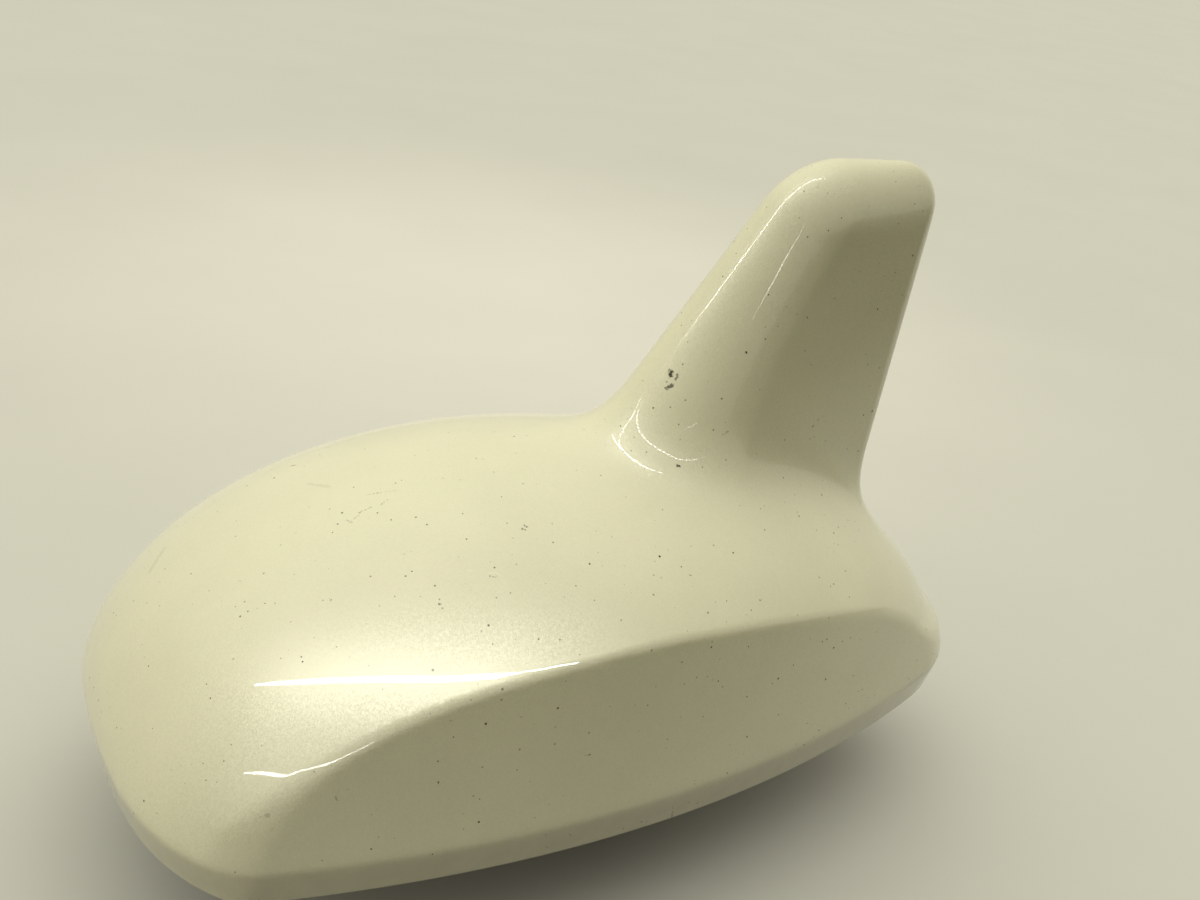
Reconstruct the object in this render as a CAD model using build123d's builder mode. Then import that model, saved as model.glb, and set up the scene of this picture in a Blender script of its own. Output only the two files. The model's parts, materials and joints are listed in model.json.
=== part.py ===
"""Shark fin aerial for a vehicle roof: a moulded cover with a fin, a cast base and the boards between."""

import os
from math import atan, atan2, cos, radians, sin, sqrt, tan

from build123d import *

os.makedirs("parts", exist_ok=True)

# Millimetres, +Z up from the roof skin, nose toward -X, stud axis at the origin
# Stack of the joint between roof and cover
seal_thickness = 2.0
base_thickness = 3.0
gasket_thickness = 1.0
base_low_z = seal_thickness
base_top_z = base_low_z + base_thickness
ledge_z = base_top_z + gasket_thickness

# Cover body: a dome with a blunt nose, cut by leaning side walls that wrap the tail
rim_z = 1.0
band_height = 4.8
belt_z = rim_z + band_height
band_tuck = 0.6
dome_z = 1.2
crown_x = -10.4
crown_z = 39.0
dome_front = 52.5
dome_rear = 74.0
dome_side = 39.0
nose_power = 2.9
half_width = 32.0
wide_x = -19.0
tail_x = 62.5
tail_radius = 19.5
tail_radius_top = 17.0
side_lean = 8.0
tail_lean = 21.0
crease_radius = 6.0
nose_x = crown_x - dome_front * sqrt(1 - ((belt_z - dome_z) / (crown_z - dome_z)) ** 2)

# Fin: a swept leading edge, an upright trailing edge, thick nose and thin tail
fin_top_z = 76.3
fin_low_z = crown_z - 16.0
fin_lead_x = 1.0
fin_lead_z = crown_z + 3.7
fin_slope = 1.608
fin_trail_x = 44.0
fin_trail_lean = 0.037
fin_nose_radius = 7.0
fin_nose_radius_top = 4.6
fin_tail_radius = 3.0
fin_front_round = 9.0
fin_rear_round = 4.0
fin_edge_round = 4.0
fin_foot_radius = 6.0

# Cover walls and bosses
skirt_wall = 1.6
dome_wall = 2.8
side_wall = 3.2
fin_wall = 2.2
boss_radius = 3.25
boss_low_z = ledge_z + 1.0
boss_embed = 1.0
boss_edge = 8.5
web_thickness = 1.6
gasket_width = 2.4

# Cover screws, driven up through the base
screw_core = 1.05
screw_pilot = screw_core + 0.05
screw_length = 10.0
screw_head_radius = 2.8
screw_head_height = 2.0
screw_seat_z = base_low_z + screw_head_height + 0.2
screw_hole = 1.6
screw_slot = 0.6
base_boss_radius = 3.0
side_boss_x = wide_x - 1.0
side_boss_y = half_width - boss_edge
cover_screw_points = [
    (nose_x + boss_edge, 0),
    (tail_x - boss_edge - 1.0, 0),
    (side_boss_x, side_boss_y),
    (side_boss_x, -side_boss_y),
]

# Base plate, roof stud and lead gland
fit_gap = 0.3
stud_radius = 7.0
stud_collar = 0.4
thread_top_z = 0.6
stud_bore = 4.75
stud_low_z = -16.0
stud_flange_radius = 10.0
stud_flange_flat = 8.6
stud_flange_height = 1.8
stud_flange_z = base_top_z + stud_flange_height
gland_flange_radius = 6.3
gland_flange_height = 1.6
gland_low_z = -3.0
lead_radius = 1.5
lead_spread = 2.3
peg_x = 22.0
peg_radius = 2.0
peg_foot = 0.6
peg_top_z = 0.4
peg_low_z = -4.0
rib_width = 1.6
rib_height = 2.0
groove_inset = 2.5
groove_width = 2.0
groove_depth = 0.6

# Main board on its posts
board_low_z = base_top_z + 3.0
board_thickness = 1.6
board_top_z = board_low_z + board_thickness
board_inset = 6.0
board_front = nose_x + 12.5
board_rear = tail_x - 16.5
board_hole = 7.0
post_radius = 2.75
post_core = 1.0
post_pilot = post_core + 0.05
post_screw_length = 6.0
post_head_radius = 2.25
post_head_height = 1.6
post_slot = 0.5
post_hole = 1.4
board_screw_points = [
    (board_front + 6.0, 19.0),
    (board_front + 6.0, -19.0),
    (board_rear - 5.0, 9.0),
    (board_rear - 5.0, -9.0),
]

# Satellite patch at the nose end
patch_x = board_front + 14.0
patch_side = 25.0
patch_height = 4.0
pad_side = 22.0
pad_thickness = 0.5
patch_low_z = board_top_z + pad_thickness
patch_top_z = patch_low_z + patch_height
patch_feed_y = 2.0

# Upright fin board with its clips and foam saddle
fin_board_thickness = 1.2
fin_board_front = 9.5
fin_board_rear = fin_trail_x - 4.0
fin_board_margin = 3.6
fin_board_top_z = fin_top_z - fin_wall - 4.8
fin_tab_width = 5.0
fin_tab_points = [fin_board_front + 5.0, fin_board_rear - 6.0]
clip_points = [fin_board_front + 11.0, fin_board_rear - 12.0]
clip_sheet = 0.4
clip_length = 5.0
clip_height = 5.0
foam_front = 28.0
foam_length = 5.0
foam_grip = 2.5

# Amplifier, phone element and jacks
can_front = fin_board_front
can_length = 22.0
can_near = 4.5
can_width = 13.0
can_height = 4.0
can_sheet = 0.4
phone_length = 24.0
phone_front = board_rear - phone_length - 12.0
phone_y = -8.0
phone_height = 13.5
phone_fold = 5.0
phone_sheet = 0.6
jack_y = 11.0
jack_side = 4.5
jack_base = 1.2
jack_height = 3.0
jack_radius = 1.75
jack_bore = 1.3
spring_x = -28.0
spring_y = 4.5
spring_sheet = 0.3
spring_width = 3.0
spring_length = 6.0


def half_beam(x, inset):
    """Half width of the dome at a station, fuller toward the nose."""
    reach = abs(x - crown_x)
    if x < crown_x:
        return (dome_side - inset) * (1 - (reach / (dome_front - inset)) ** nose_power) ** (1 / nose_power)
    return (dome_side - inset) * sqrt(1 - (reach / (dome_rear - inset)) ** 2)


def half_rise(x, inset):
    """Height of the dome above its middle plane at a station."""
    reach = (dome_front if x < crown_x else dome_rear) - inset
    return (crown_z - dome_z - inset) * sqrt(1 - ((x - crown_x) / reach) ** 2)


def dome_form(inset):
    stations = [crown_x - (dome_front - inset) * sin(radians(a)) for a in (86, 78, 69, 58, 45, 30, 15)]
    stations += [crown_x + (dome_rear - inset) * sin(radians(a)) for a in (0, 15, 30, 45, 58, 69, 78, 86)]
    sections = []
    for x in stations:
        with BuildSketch(Plane.YZ.offset(x).shift_origin((x, 0, dome_z))) as section:
            Ellipse(half_rise(x, inset), half_beam(x, inset), rotation=-90)
        sections.append(section.sketch)
    with BuildPart() as dome:
        loft(sections=sections)
    return dome.part


def wall_points(z, inset):
    """Plan of the side walls at a height: long flat arcs run into a round tail."""
    rise = z - belt_z
    half = half_width - inset - rise * tan(radians(side_lean))
    tail = tail_x - inset - rise * tan(radians(tail_lean))
    radius = tail_radius - inset + (tail_radius_top - tail_radius) * rise / (crown_z - belt_z)
    reach = tail - radius - wide_x
    side_radius = (reach**2 + half**2 - radius**2) / (2 * (half - radius))
    turn = atan2(side_radius - half, reach)
    run = side_radius * cos(turn)
    points = []
    for x in (crown_x - dome_front - 6.0, wide_x, wide_x + 0.35 * run, wide_x + 0.7 * run):
        points.append((x, half - side_radius + sqrt(side_radius**2 - (x - wide_x) ** 2)))
    for part in (1.0, 0.68, 0.35):
        points.append((tail - radius + radius * cos(turn * part), radius * sin(turn * part)))
    points.append((tail, 0))
    return points + [(x, -y) for x, y in points[-2::-1]]


def nose_points(inset):
    """Plan of the dome's nose at the belt, from one side round to the other."""
    height = belt_z - dome_z
    reach = (dome_front - inset) * sqrt(1 - (height / (crown_z - dome_z - inset)) ** 2)
    points = []
    for part in (0.45, 0.6, 0.73, 0.83, 0.91, 0.965, 0.992):
        x = crown_x - reach * part
        points.append((x, half_beam(x, inset) * sqrt(1 - (height / half_rise(x, inset)) ** 2)))
    points.append((crown_x - reach, 0))
    return points + [(x, -y) for x, y in points[-2::-1]]


def wall_form(inset, low_z):
    sections = []
    for z in (low_z, crown_z + 3.0):
        points = wall_points(z, inset)
        with BuildSketch(Plane.XY.offset(z)) as outline:
            with BuildLine():
                Spline(*points)
                Line(points[-1], points[0])
            make_face()
        sections.append(outline.sketch)
    with BuildPart() as walls:
        loft(sections=sections, ruled=True)
    return walls.part


def plan_inset(inset, z):
    """Plan of the cover at its belt, drawn in by an inset, at a height."""
    sides = wall_points(belt_z, inset)
    nose = nose_points(inset)
    with BuildSketch(Plane.XY.offset(z)) as plan:
        with BuildLine():
            Spline(*sides)
            Line(sides[-1], sides[0])
        make_face()
        with BuildLine():
            Spline(*nose)
            Polyline(nose[-1], (tail_x + 5.0, nose[-1][1]), (tail_x + 5.0, nose[0][1]), nose[0])
        make_face(mode=Mode.INTERSECT)
    return plan.sketch


def lead_at(z):
    return fin_lead_x + (z - fin_lead_z) / fin_slope


def trail_at(z):
    return fin_trail_x + (z - fin_lead_z + 9.7) * fin_trail_lean


def fin_section(z, inset, share):
    """Level section of the fin drawn in by an inset, its thickness cut to a share of the full one."""
    top = fin_top_z - inset
    angle = atan(fin_slope)
    part = (z - fin_low_z) / (fin_top_z - fin_low_z)
    nose = (fin_nose_radius + (fin_nose_radius_top - fin_nose_radius) * part - inset) * share
    tail = (fin_tail_radius - inset) * share
    front_round = fin_front_round - inset
    rear_round = fin_rear_round - inset
    lead = lead_at(z) + inset / sin(angle)
    trail = trail_at(z) - inset
    if z > top - front_round * (1 - cos(angle)):
        front_x = lead_at(top) + inset / sin(angle) + front_round * tan(angle / 2)
        lead = front_x - sqrt(front_round**2 - (z - top + front_round) ** 2)
    if z > top - rear_round:
        rear_x = trail_at(top) - inset - rear_round
        trail = rear_x + sqrt(rear_round**2 - (z - top + rear_round) ** 2)
    with BuildSketch(Plane.XY.offset(z)) as section:
        with Locations((lead + nose, 0)):
            Circle(nose)
        with Locations((trail - tail, 0)):
            Circle(tail)
        make_hull()
    return section.sketch


def fin_shoulder(inset):
    """Height at which the top of the fin begins to round over."""
    drop = max(fin_edge_round, fin_front_round * (1 - cos(atan(fin_slope))))
    return fin_top_z - drop - inset * 0.6


def fin_blade(inset):
    """Straight part of the fin, from inside the body up to where its top rounds over."""
    sections = [fin_section(z, inset, 1.0) for z in (fin_low_z, fin_shoulder(inset))]
    with BuildPart() as blade:
        loft(sections=sections, ruled=True)
    return blade.part


def fin_cap(inset):
    """Rounded top of the fin, standing on its straight part."""
    shoulder = fin_shoulder(inset)
    rise = fin_top_z - inset - shoulder
    sections = [
        fin_section(shoulder + rise * sin(radians(a)), inset, cos(radians(a)))
        for a in (0, 15, 32, 48, 63, 78)
    ]
    with BuildPart() as cap:
        loft(sections=sections)
    return cap.part


# Outer form of the cover
outer_dome = dome_form(0.0)
outer_walls = wall_form(0.0, 2 * dome_z - crown_z - 8.0)
outer_blade = fin_blade(0.0)
outer_cap = fin_cap(0.0)

with BuildPart() as body_form:
    add(outer_dome)
    add(outer_walls, mode=Mode.INTERSECT)
    fillet(body_form.edges().sort_by(SortBy.LENGTH)[-1], radius=crease_radius)
    split(bisect_by=Plane.XY.offset(belt_z), keep=Keep.TOP)

belt_face = body_form.faces().sort_by(Axis.Z)[0]

with BuildPart() as outer_form:
    add(body_form.part)
    extrude(belt_face, amount=band_height, dir=(0, 0, -1))
    rim = outer_form.faces().sort_by(Axis.Z)[0]
    chamfer(rim.edges(), length=band_height - 0.3, length2=band_tuck)
    add(outer_blade)
    foot = [e for e in outer_form.edges()
            if e.bounding_box().min.Z > fin_low_z - 2 and e.bounding_box().max.Z < crown_z + 2]
    fillet(foot, radius=fin_foot_radius)
    add(outer_cap)

# Hollow of the cover: dome and fin inside, and the pocket that takes the base
inner_dome = dome_form(dome_wall)
inner_walls = wall_form(side_wall, ledge_z)
inner_blade = fin_blade(fin_wall)
inner_cap = fin_cap(fin_wall)
pocket_plan = plan_inset(band_tuck + skirt_wall, rim_z)

with BuildPart() as hollow:
    add(inner_dome)
    add(inner_walls, mode=Mode.INTERSECT)
    add(inner_blade)
    add(inner_cap)
    add(pocket_plan)
    extrude(amount=ledge_z - rim_z)

# Screw bosses and webs, trimmed to end inside the cover's wall
boss_dome = dome_form(boss_embed)
boss_walls = wall_form(boss_embed, ledge_z)

with BuildPart() as bosses:
    with Locations(*[(x, y, boss_low_z) for x, y in cover_screw_points]):
        Cylinder(boss_radius, crown_z, align=(Align.CENTER, Align.CENTER, Align.MIN))
    with Locations((side_boss_x, 0, boss_low_z + 1.0)):
        Box(web_thickness, 2 * half_width, crown_z, align=(Align.CENTER, Align.CENTER, Align.MIN))
    with Locations((side_boss_x, 0, 0)):
        Box(4 * boss_radius, 2 * side_boss_y, 3 * crown_z, mode=Mode.SUBTRACT)
    with Locations(*[(x, y, boss_low_z) for x, y in cover_screw_points[2:]]):
        Cylinder(boss_radius, crown_z, align=(Align.CENTER, Align.CENTER, Align.MIN))
    add(boss_dome, mode=Mode.INTERSECT)
    add(boss_walls, mode=Mode.INTERSECT)

with BuildPart() as cover:
    add(outer_form.part)
    add(hollow.part, mode=Mode.SUBTRACT)
    add(bosses.part)
    with Locations(*[(x, y, boss_low_z) for x, y in cover_screw_points]):
        Cylinder(
            screw_pilot,
            screw_seat_z + screw_length + 0.5 - boss_low_z,
            align=(Align.CENTER, Align.CENTER, Align.MIN),
            mode=Mode.SUBTRACT,
        )
cover.part.label = "cover"
export_step(cover.part, "parts/cover.step")

# Gasket ring between the base and the ledge in the cover
gasket_outer = plan_inset(band_tuck + skirt_wall + fit_gap, base_top_z)
gasket_inner = plan_inset(band_tuck + skirt_wall + fit_gap + gasket_width, base_top_z)

with BuildPart() as cover_gasket:
    add(gasket_outer)
    extrude(amount=gasket_thickness)
    add(gasket_inner)
    extrude(amount=gasket_thickness, mode=Mode.SUBTRACT)
cover_gasket.part.label = "cover_gasket"
export_step(cover_gasket.part, "parts/cover_gasket.step")

# Cast base plate with ribs, bosses, board posts and the locating peg
base_plan = plan_inset(band_tuck + skirt_wall + fit_gap, base_low_z)
rib_inner = stud_flange_flat + 0.1

with BuildPart() as base_plate:
    add(base_plan)
    extrude(amount=base_thickness)
    with Locations(*[(x, y, base_top_z) for x, y in cover_screw_points]):
        Cylinder(base_boss_radius, boss_low_z - base_top_z, align=(Align.CENTER, Align.CENTER, Align.MIN))
    with Locations(*[(x, y, base_top_z) for x, y in board_screw_points]):
        Cylinder(post_radius, board_low_z - base_top_z, align=(Align.CENTER, Align.CENTER, Align.MIN))
    with Locations(
        (0, rib_inner + rib_width / 2, base_top_z),
        (0, -rib_inner - rib_width / 2, base_top_z),
    ):
        Box(
            board_rear - board_front - 22.0,
            rib_width,
            rib_height,
            align=(Align.CENTER, Align.CENTER, Align.MIN),
        )
    with Locations((board_front + 13.0, 0, base_top_z), (board_rear - 13.0, 0, base_top_z)):
        Box(rib_width, 2 * rib_inner, rib_height, align=(Align.CENTER, Align.CENTER, Align.MIN))
    with Locations((peg_x, 0, base_low_z)):
        Cylinder(
            peg_radius + peg_foot,
            base_low_z - peg_top_z - peg_foot,
            align=(Align.CENTER, Align.CENTER, Align.MAX),
        )
    with Locations((peg_x, 0, peg_top_z)):
        Cone(peg_radius, peg_radius + peg_foot, peg_foot, align=(Align.CENTER, Align.CENTER, Align.MIN))
        Cylinder(peg_radius, peg_top_z - peg_low_z, align=(Align.CENTER, Align.CENTER, Align.MAX))
    chamfer(base_plate.edges().group_by(Axis.Z)[0], length=0.6)
    with Locations((0, 0, base_low_z)):
        Cylinder(
            stud_radius + stud_collar + 0.1,
            base_thickness,
            align=(Align.CENTER, Align.CENTER, Align.MIN),
            mode=Mode.SUBTRACT,
        )
    with Locations(*[(x, y, boss_low_z) for x, y in cover_screw_points]):
        Hole(screw_hole, depth=boss_low_z - base_low_z)
    with Locations(*[(x, y, base_low_z) for x, y in cover_screw_points]):
        Cylinder(
            screw_head_radius + 0.4,
            screw_seat_z - base_low_z,
            align=(Align.CENTER, Align.CENTER, Align.MIN),
            mode=Mode.SUBTRACT,
        )
    with Locations(*[(x, y, board_low_z) for x, y in board_screw_points]):
        Cylinder(
            post_pilot,
            board_top_z - board_low_z + post_screw_length - board_thickness - 1.2,
            align=(Align.CENTER, Align.CENTER, Align.MAX),
            mode=Mode.SUBTRACT,
        )
base_plate.part.label = "base_plate"
export_step(base_plate.part, "parts/base_plate.step")

# Rubber seal under the base, with a pressure groove near its edge
seal_plan = plan_inset(band_tuck + skirt_wall + fit_gap, 0)
groove_outer = plan_inset(band_tuck + skirt_wall + fit_gap + groove_inset, 0)
groove_inner = plan_inset(band_tuck + skirt_wall + fit_gap + groove_inset + groove_width, 0)

with BuildPart() as groove:
    add(groove_outer)
    extrude(amount=groove_depth)
    add(groove_inner)
    extrude(amount=groove_depth, mode=Mode.SUBTRACT)

with BuildPart() as roof_seal:
    add(seal_plan)
    extrude(amount=seal_thickness)
    add(groove.part, mode=Mode.SUBTRACT)
    with Locations((0, 0, seal_thickness)):
        Hole(stud_radius + 1.2, depth=seal_thickness)
    with Locations((peg_x, 0, seal_thickness)):
        Hole(peg_radius + 1.0, depth=seal_thickness)
roof_seal.part.label = "roof_seal"
export_step(roof_seal.part, "parts/roof_seal.step")

# Hollow roof stud whose flange is held between the ribs of the base
with BuildPart() as roof_stud:
    with Locations((0, 0, base_top_z)):
        Cylinder(stud_flange_radius, stud_flange_height, align=(Align.CENTER, Align.CENTER, Align.MIN))
        Box(
            2 * stud_flange_radius,
            2 * stud_flange_flat,
            stud_flange_height,
            align=(Align.CENTER, Align.CENTER, Align.MIN),
            mode=Mode.INTERSECT,
        )
        Cylinder(
            stud_radius + stud_collar,
            base_top_z - thread_top_z - stud_collar,
            align=(Align.CENTER, Align.CENTER, Align.MAX),
        )
    with Locations((0, 0, thread_top_z)):
        Cone(
            stud_radius,
            stud_radius + stud_collar,
            stud_collar,
            align=(Align.CENTER, Align.CENTER, Align.MIN),
        )
        Cylinder(stud_radius, thread_top_z - stud_low_z, align=(Align.CENTER, Align.CENTER, Align.MAX))
    chamfer(roof_stud.edges().group_by(Axis.Z)[0], length=1.0)
    with Locations((0, 0, stud_flange_z)):
        Hole(stud_bore, depth=stud_flange_z - stud_low_z)
roof_stud.part.label = "roof_stud"
export_step(roof_stud.part, "parts/roof_stud.step")

# Rubber gland in the stud's bore, with a hole for each lead
with BuildPart() as lead_gland:
    with Locations((0, 0, stud_flange_z)):
        Cylinder(gland_flange_radius, gland_flange_height, align=(Align.CENTER, Align.CENTER, Align.MIN))
        Cylinder(
            stud_bore - 0.05,
            stud_flange_z - gland_low_z,
            align=(Align.CENTER, Align.CENTER, Align.MAX),
        )
    chamfer(lead_gland.edges().group_by(Axis.Z)[0], length=0.8)
    with Locations(
        (0, lead_spread, stud_flange_z + gland_flange_height),
        (0, -lead_spread, stud_flange_z + gland_flange_height),
    ):
        Hole(lead_radius, depth=stud_flange_z + gland_flange_height - gland_low_z)
lead_gland.part.label = "lead_gland"
export_step(lead_gland.part, "parts/lead_gland.step")

# Cover screws, heads up inside the base and cores in the cover's bosses
with BuildPart() as cover_screws:
    with Locations(*[(x, y, screw_seat_z) for x, y in cover_screw_points]):
        Cylinder(screw_head_radius, screw_head_height, align=(Align.CENTER, Align.CENTER, Align.MAX))
        Cylinder(screw_core, screw_length, align=(Align.CENTER, Align.CENTER, Align.MIN))
    fillet(cover_screws.edges().group_by(Axis.Z)[0], radius=0.8)
    chamfer(cover_screws.edges().group_by(Axis.Z)[-1], length=0.5)
    with Locations(*[(x, y, screw_seat_z - screw_head_height) for x, y in cover_screw_points]):
        Box(3.0, screw_slot, 2.4, mode=Mode.SUBTRACT)
        Box(screw_slot, 3.0, 2.4, mode=Mode.SUBTRACT)
cover_screws.part.label = "cover_screws"
export_step(cover_screws.part, "parts/cover_screws.step")

# Main board, shaped to the cover, on the posts of the base
board_plan = plan_inset(board_inset, board_low_z)

with BuildPart() as main_board:
    add(board_plan)
    extrude(amount=board_thickness)
    with Locations(((board_front + board_rear) / 2, 0, board_low_z)):
        Box(
            board_rear - board_front,
            2 * half_width,
            board_thickness,
            align=(Align.CENTER, Align.CENTER, Align.MIN),
            mode=Mode.INTERSECT,
        )
    with Locations((0, 0, board_top_z)):
        Hole(board_hole, depth=board_thickness)
    with Locations(*[(x, y, board_top_z) for x, y in cover_screw_points[2:]]):
        Hole(boss_radius + 0.6, depth=board_thickness)
    with Locations(*[(x, y, board_top_z) for x, y in board_screw_points]):
        Hole(post_hole, depth=board_thickness)
    with Locations((patch_x, patch_feed_y, board_top_z)):
        Hole(0.6, depth=board_thickness)
    with Locations(*[(x, 0, board_low_z) for x in fin_tab_points]):
        Box(
            fin_tab_width + 0.2,
            fin_board_thickness + 0.1,
            board_thickness,
            align=(Align.CENTER, Align.CENTER, Align.MIN),
            mode=Mode.SUBTRACT,
        )
main_board.part.label = "main_board"
export_step(main_board.part, "parts/main_board.step")

# Screws that hold the main board on its posts
with BuildPart() as board_screws:
    with Locations(*[(x, y, board_top_z) for x, y in board_screw_points]):
        Cylinder(post_head_radius, post_head_height, align=(Align.CENTER, Align.CENTER, Align.MIN))
        Cylinder(post_core, post_screw_length, align=(Align.CENTER, Align.CENTER, Align.MAX))
    fillet(board_screws.edges().group_by(Axis.Z)[-1], radius=0.6)
    with Locations(*[(x, y, board_top_z + post_head_height) for x, y in board_screw_points]):
        Box(2.4, post_slot, 1.8, mode=Mode.SUBTRACT)
        Box(post_slot, 2.4, 1.8, mode=Mode.SUBTRACT)
board_screws.part.label = "board_screws"
export_step(board_screws.part, "parts/board_screws.step")

# Adhesive pad, ceramic patch and its feed pin
with BuildPart() as patch_pad:
    with Locations((patch_x, 0, board_top_z)):
        Box(pad_side, pad_side, pad_thickness, align=(Align.CENTER, Align.CENTER, Align.MIN))
    with Locations((patch_x, patch_feed_y, patch_low_z)):
        Hole(1.2, depth=pad_thickness)
patch_pad.part.label = "patch_pad"
export_step(patch_pad.part, "parts/patch_pad.step")

with BuildPart() as patch_element:
    with Locations((patch_x, 0, patch_low_z)):
        Box(patch_side, patch_side, patch_height, align=(Align.CENTER, Align.CENTER, Align.MIN))
    chamfer(patch_element.edges().filter_by(Axis.Z), length=1.0)
    with Locations((patch_x, patch_feed_y, patch_top_z)):
        Hole(0.7, depth=patch_height)
patch_element.part.label = "patch_element"
export_step(patch_element.part, "parts/patch_element.step")

with BuildPart() as patch_pin:
    with Locations((patch_x, patch_feed_y, patch_top_z)):
        Cylinder(0.5, patch_top_z - board_low_z + 0.8, align=(Align.CENTER, Align.CENTER, Align.MAX))
        Cylinder(1.25, 0.4, align=(Align.CENTER, Align.CENTER, Align.MIN))
patch_pin.part.label = "patch_pin"
export_step(patch_pin.part, "parts/patch_pin.step")

# Amplifier chips under a vented shield can
can_x = can_front + can_length / 2
can_y = can_near + can_width / 2

with BuildPart() as amplifier_chips:
    with Locations((can_x - 5.0, can_y, board_top_z)):
        Box(5.0, 5.0, 1.0, align=(Align.CENTER, Align.CENTER, Align.MIN))
    with Locations((can_x + 4.5, can_y + 1.0, board_top_z)):
        Box(6.0, 4.0, 1.4, align=(Align.CENTER, Align.CENTER, Align.MIN))
amplifier_chips.part.label = "amplifier_chips"
export_step(amplifier_chips.part, "parts/amplifier_chips.step")

with BuildPart() as shield_can:
    with Locations((can_x, can_y, board_top_z)):
        Box(can_length, can_width, can_height, align=(Align.CENTER, Align.CENTER, Align.MIN))
    fillet(shield_can.edges().filter_by(Axis.Z), radius=1.0)
    with Locations((can_x, can_y, board_top_z)):
        Box(
            can_length - 2 * can_sheet,
            can_width - 2 * can_sheet,
            can_height - can_sheet,
            align=(Align.CENTER, Align.CENTER, Align.MIN),
            mode=Mode.SUBTRACT,
        )
    with Locations((can_x, can_y, board_top_z + can_height)):
        with GridLocations(4.0, 4.0, 5, 3):
            Hole(0.75, depth=2 * can_sheet)
shield_can.part.label = "shield_can"
export_step(shield_can.part, "parts/shield_can.step")

# Phone element: an upright sheet folded outward at the top, slotted, on two feet
with BuildPart() as phone_element:
    with BuildSketch(Plane.YZ.offset(phone_front)):
        with BuildLine():
            Polyline(
                (phone_y, board_top_z),
                (phone_y, board_top_z + phone_height),
                (phone_y - phone_fold, board_top_z + phone_height),
                (phone_y - phone_fold, board_top_z + phone_height - phone_sheet),
                (phone_y - phone_sheet, board_top_z + phone_height - phone_sheet),
                (phone_y - phone_sheet, board_top_z),
                close=True,
            )
        make_face()
    extrude(amount=phone_length)
    with Locations((phone_front + phone_length / 2, phone_y, board_top_z)):
        Box(phone_length - 8.0, 4.0, 5.0, align=(Align.CENTER, Align.CENTER, Align.MIN), mode=Mode.SUBTRACT)
    with Locations((phone_front + phone_length / 2 + 2.0, phone_y, board_top_z + 8.0)):
        Box(phone_length - 8.0, 4.0, 1.5, align=(Align.CENTER, Align.CENTER, Align.MIN), mode=Mode.SUBTRACT)
phone_element.part.label = "phone_element"
export_step(phone_element.part, "parts/phone_element.step")

# Upright radio board in the fin, with tabs through the main board
fin_board_slope_z = fin_lead_z + (fin_board_front - fin_board_margin - fin_lead_x) * fin_slope
fin_board_top_x = lead_at(fin_board_top_z) + fin_board_margin

with BuildPart() as fin_board:
    with BuildSketch(Plane.XZ):
        with BuildLine():
            Polyline(
                (fin_board_front, board_top_z),
                (fin_board_rear, board_top_z),
                (fin_board_rear, fin_board_top_z - 3.0),
                (fin_board_rear - 3.0, fin_board_top_z),
                (fin_board_top_x + 3.0, fin_board_top_z),
                (fin_board_top_x - 3.0 / fin_slope, fin_board_top_z - 3.0),
                (fin_board_front, fin_board_slope_z),
                close=True,
            )
        make_face()
    extrude(amount=fin_board_thickness / 2, both=True)
    with Locations(*[(x, 0, board_top_z) for x in fin_tab_points]):
        Box(
            fin_tab_width,
            fin_board_thickness,
            board_thickness + 0.6,
            align=(Align.CENTER, Align.CENTER, Align.MAX),
        )
fin_board.part.label = "fin_board"
export_step(fin_board.part, "parts/fin_board.step")

# Spring clips that grip the fin board on both faces
with BuildPart() as fin_board_clips:
    for side in (1, -1):
        with Locations(*[(x, side * fin_board_thickness / 2, board_top_z) for x in clip_points]):
            Box(
                clip_length,
                clip_sheet,
                clip_height,
                align=(Align.CENTER, Align.MIN if side > 0 else Align.MAX, Align.MIN),
            )
            Box(
                clip_length,
                2.4,
                clip_sheet,
                align=(Align.CENTER, Align.MIN if side > 0 else Align.MAX, Align.MIN),
            )
fin_board_clips.part.label = "fin_board_clips"
export_step(fin_board_clips.part, "parts/fin_board_clips.step")

# Foam saddle pressed between the fin board and the tip of the fin
with BuildPart() as fin_foam:
    add(inner_blade)
    add(inner_cap)
    with Locations((foam_front, 0, fin_board_top_z - foam_grip)):
        Box(
            foam_length,
            4 * fin_nose_radius,
            fin_top_z - fin_board_top_z + foam_grip,
            align=(Align.MIN, Align.CENTER, Align.MIN),
            mode=Mode.INTERSECT,
        )
    with Locations((foam_front, 0, fin_board_top_z)):
        Box(
            2 * foam_length,
            fin_board_thickness,
            2 * foam_grip,
            align=(Align.CENTER, Align.CENTER, Align.MAX),
            mode=Mode.SUBTRACT,
        )
fin_foam.part.label = "fin_foam"
export_step(fin_foam.part, "parts/fin_foam.step")

# Lead jacks on the main board, one each side of the gland
with BuildPart() as coax_jacks:
    with Locations((0, jack_y, board_top_z), (0, -jack_y, board_top_z)):
        Box(jack_side, jack_side, jack_base, align=(Align.CENTER, Align.CENTER, Align.MIN))
        Cylinder(jack_radius, jack_height, align=(Align.CENTER, Align.CENTER, Align.MIN))
    with Locations((0, jack_y, board_top_z + jack_height), (0, -jack_y, board_top_z + jack_height)):
        Hole(jack_bore, depth=jack_height - jack_base)
    with Locations((0, jack_y, board_top_z + jack_base), (0, -jack_y, board_top_z + jack_base)):
        Cylinder(0.4, jack_height - jack_base - 0.4, align=(Align.CENTER, Align.CENTER, Align.MIN))
coax_jacks.part.label = "coax_jacks"
export_step(coax_jacks.part, "parts/coax_jacks.step")

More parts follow.
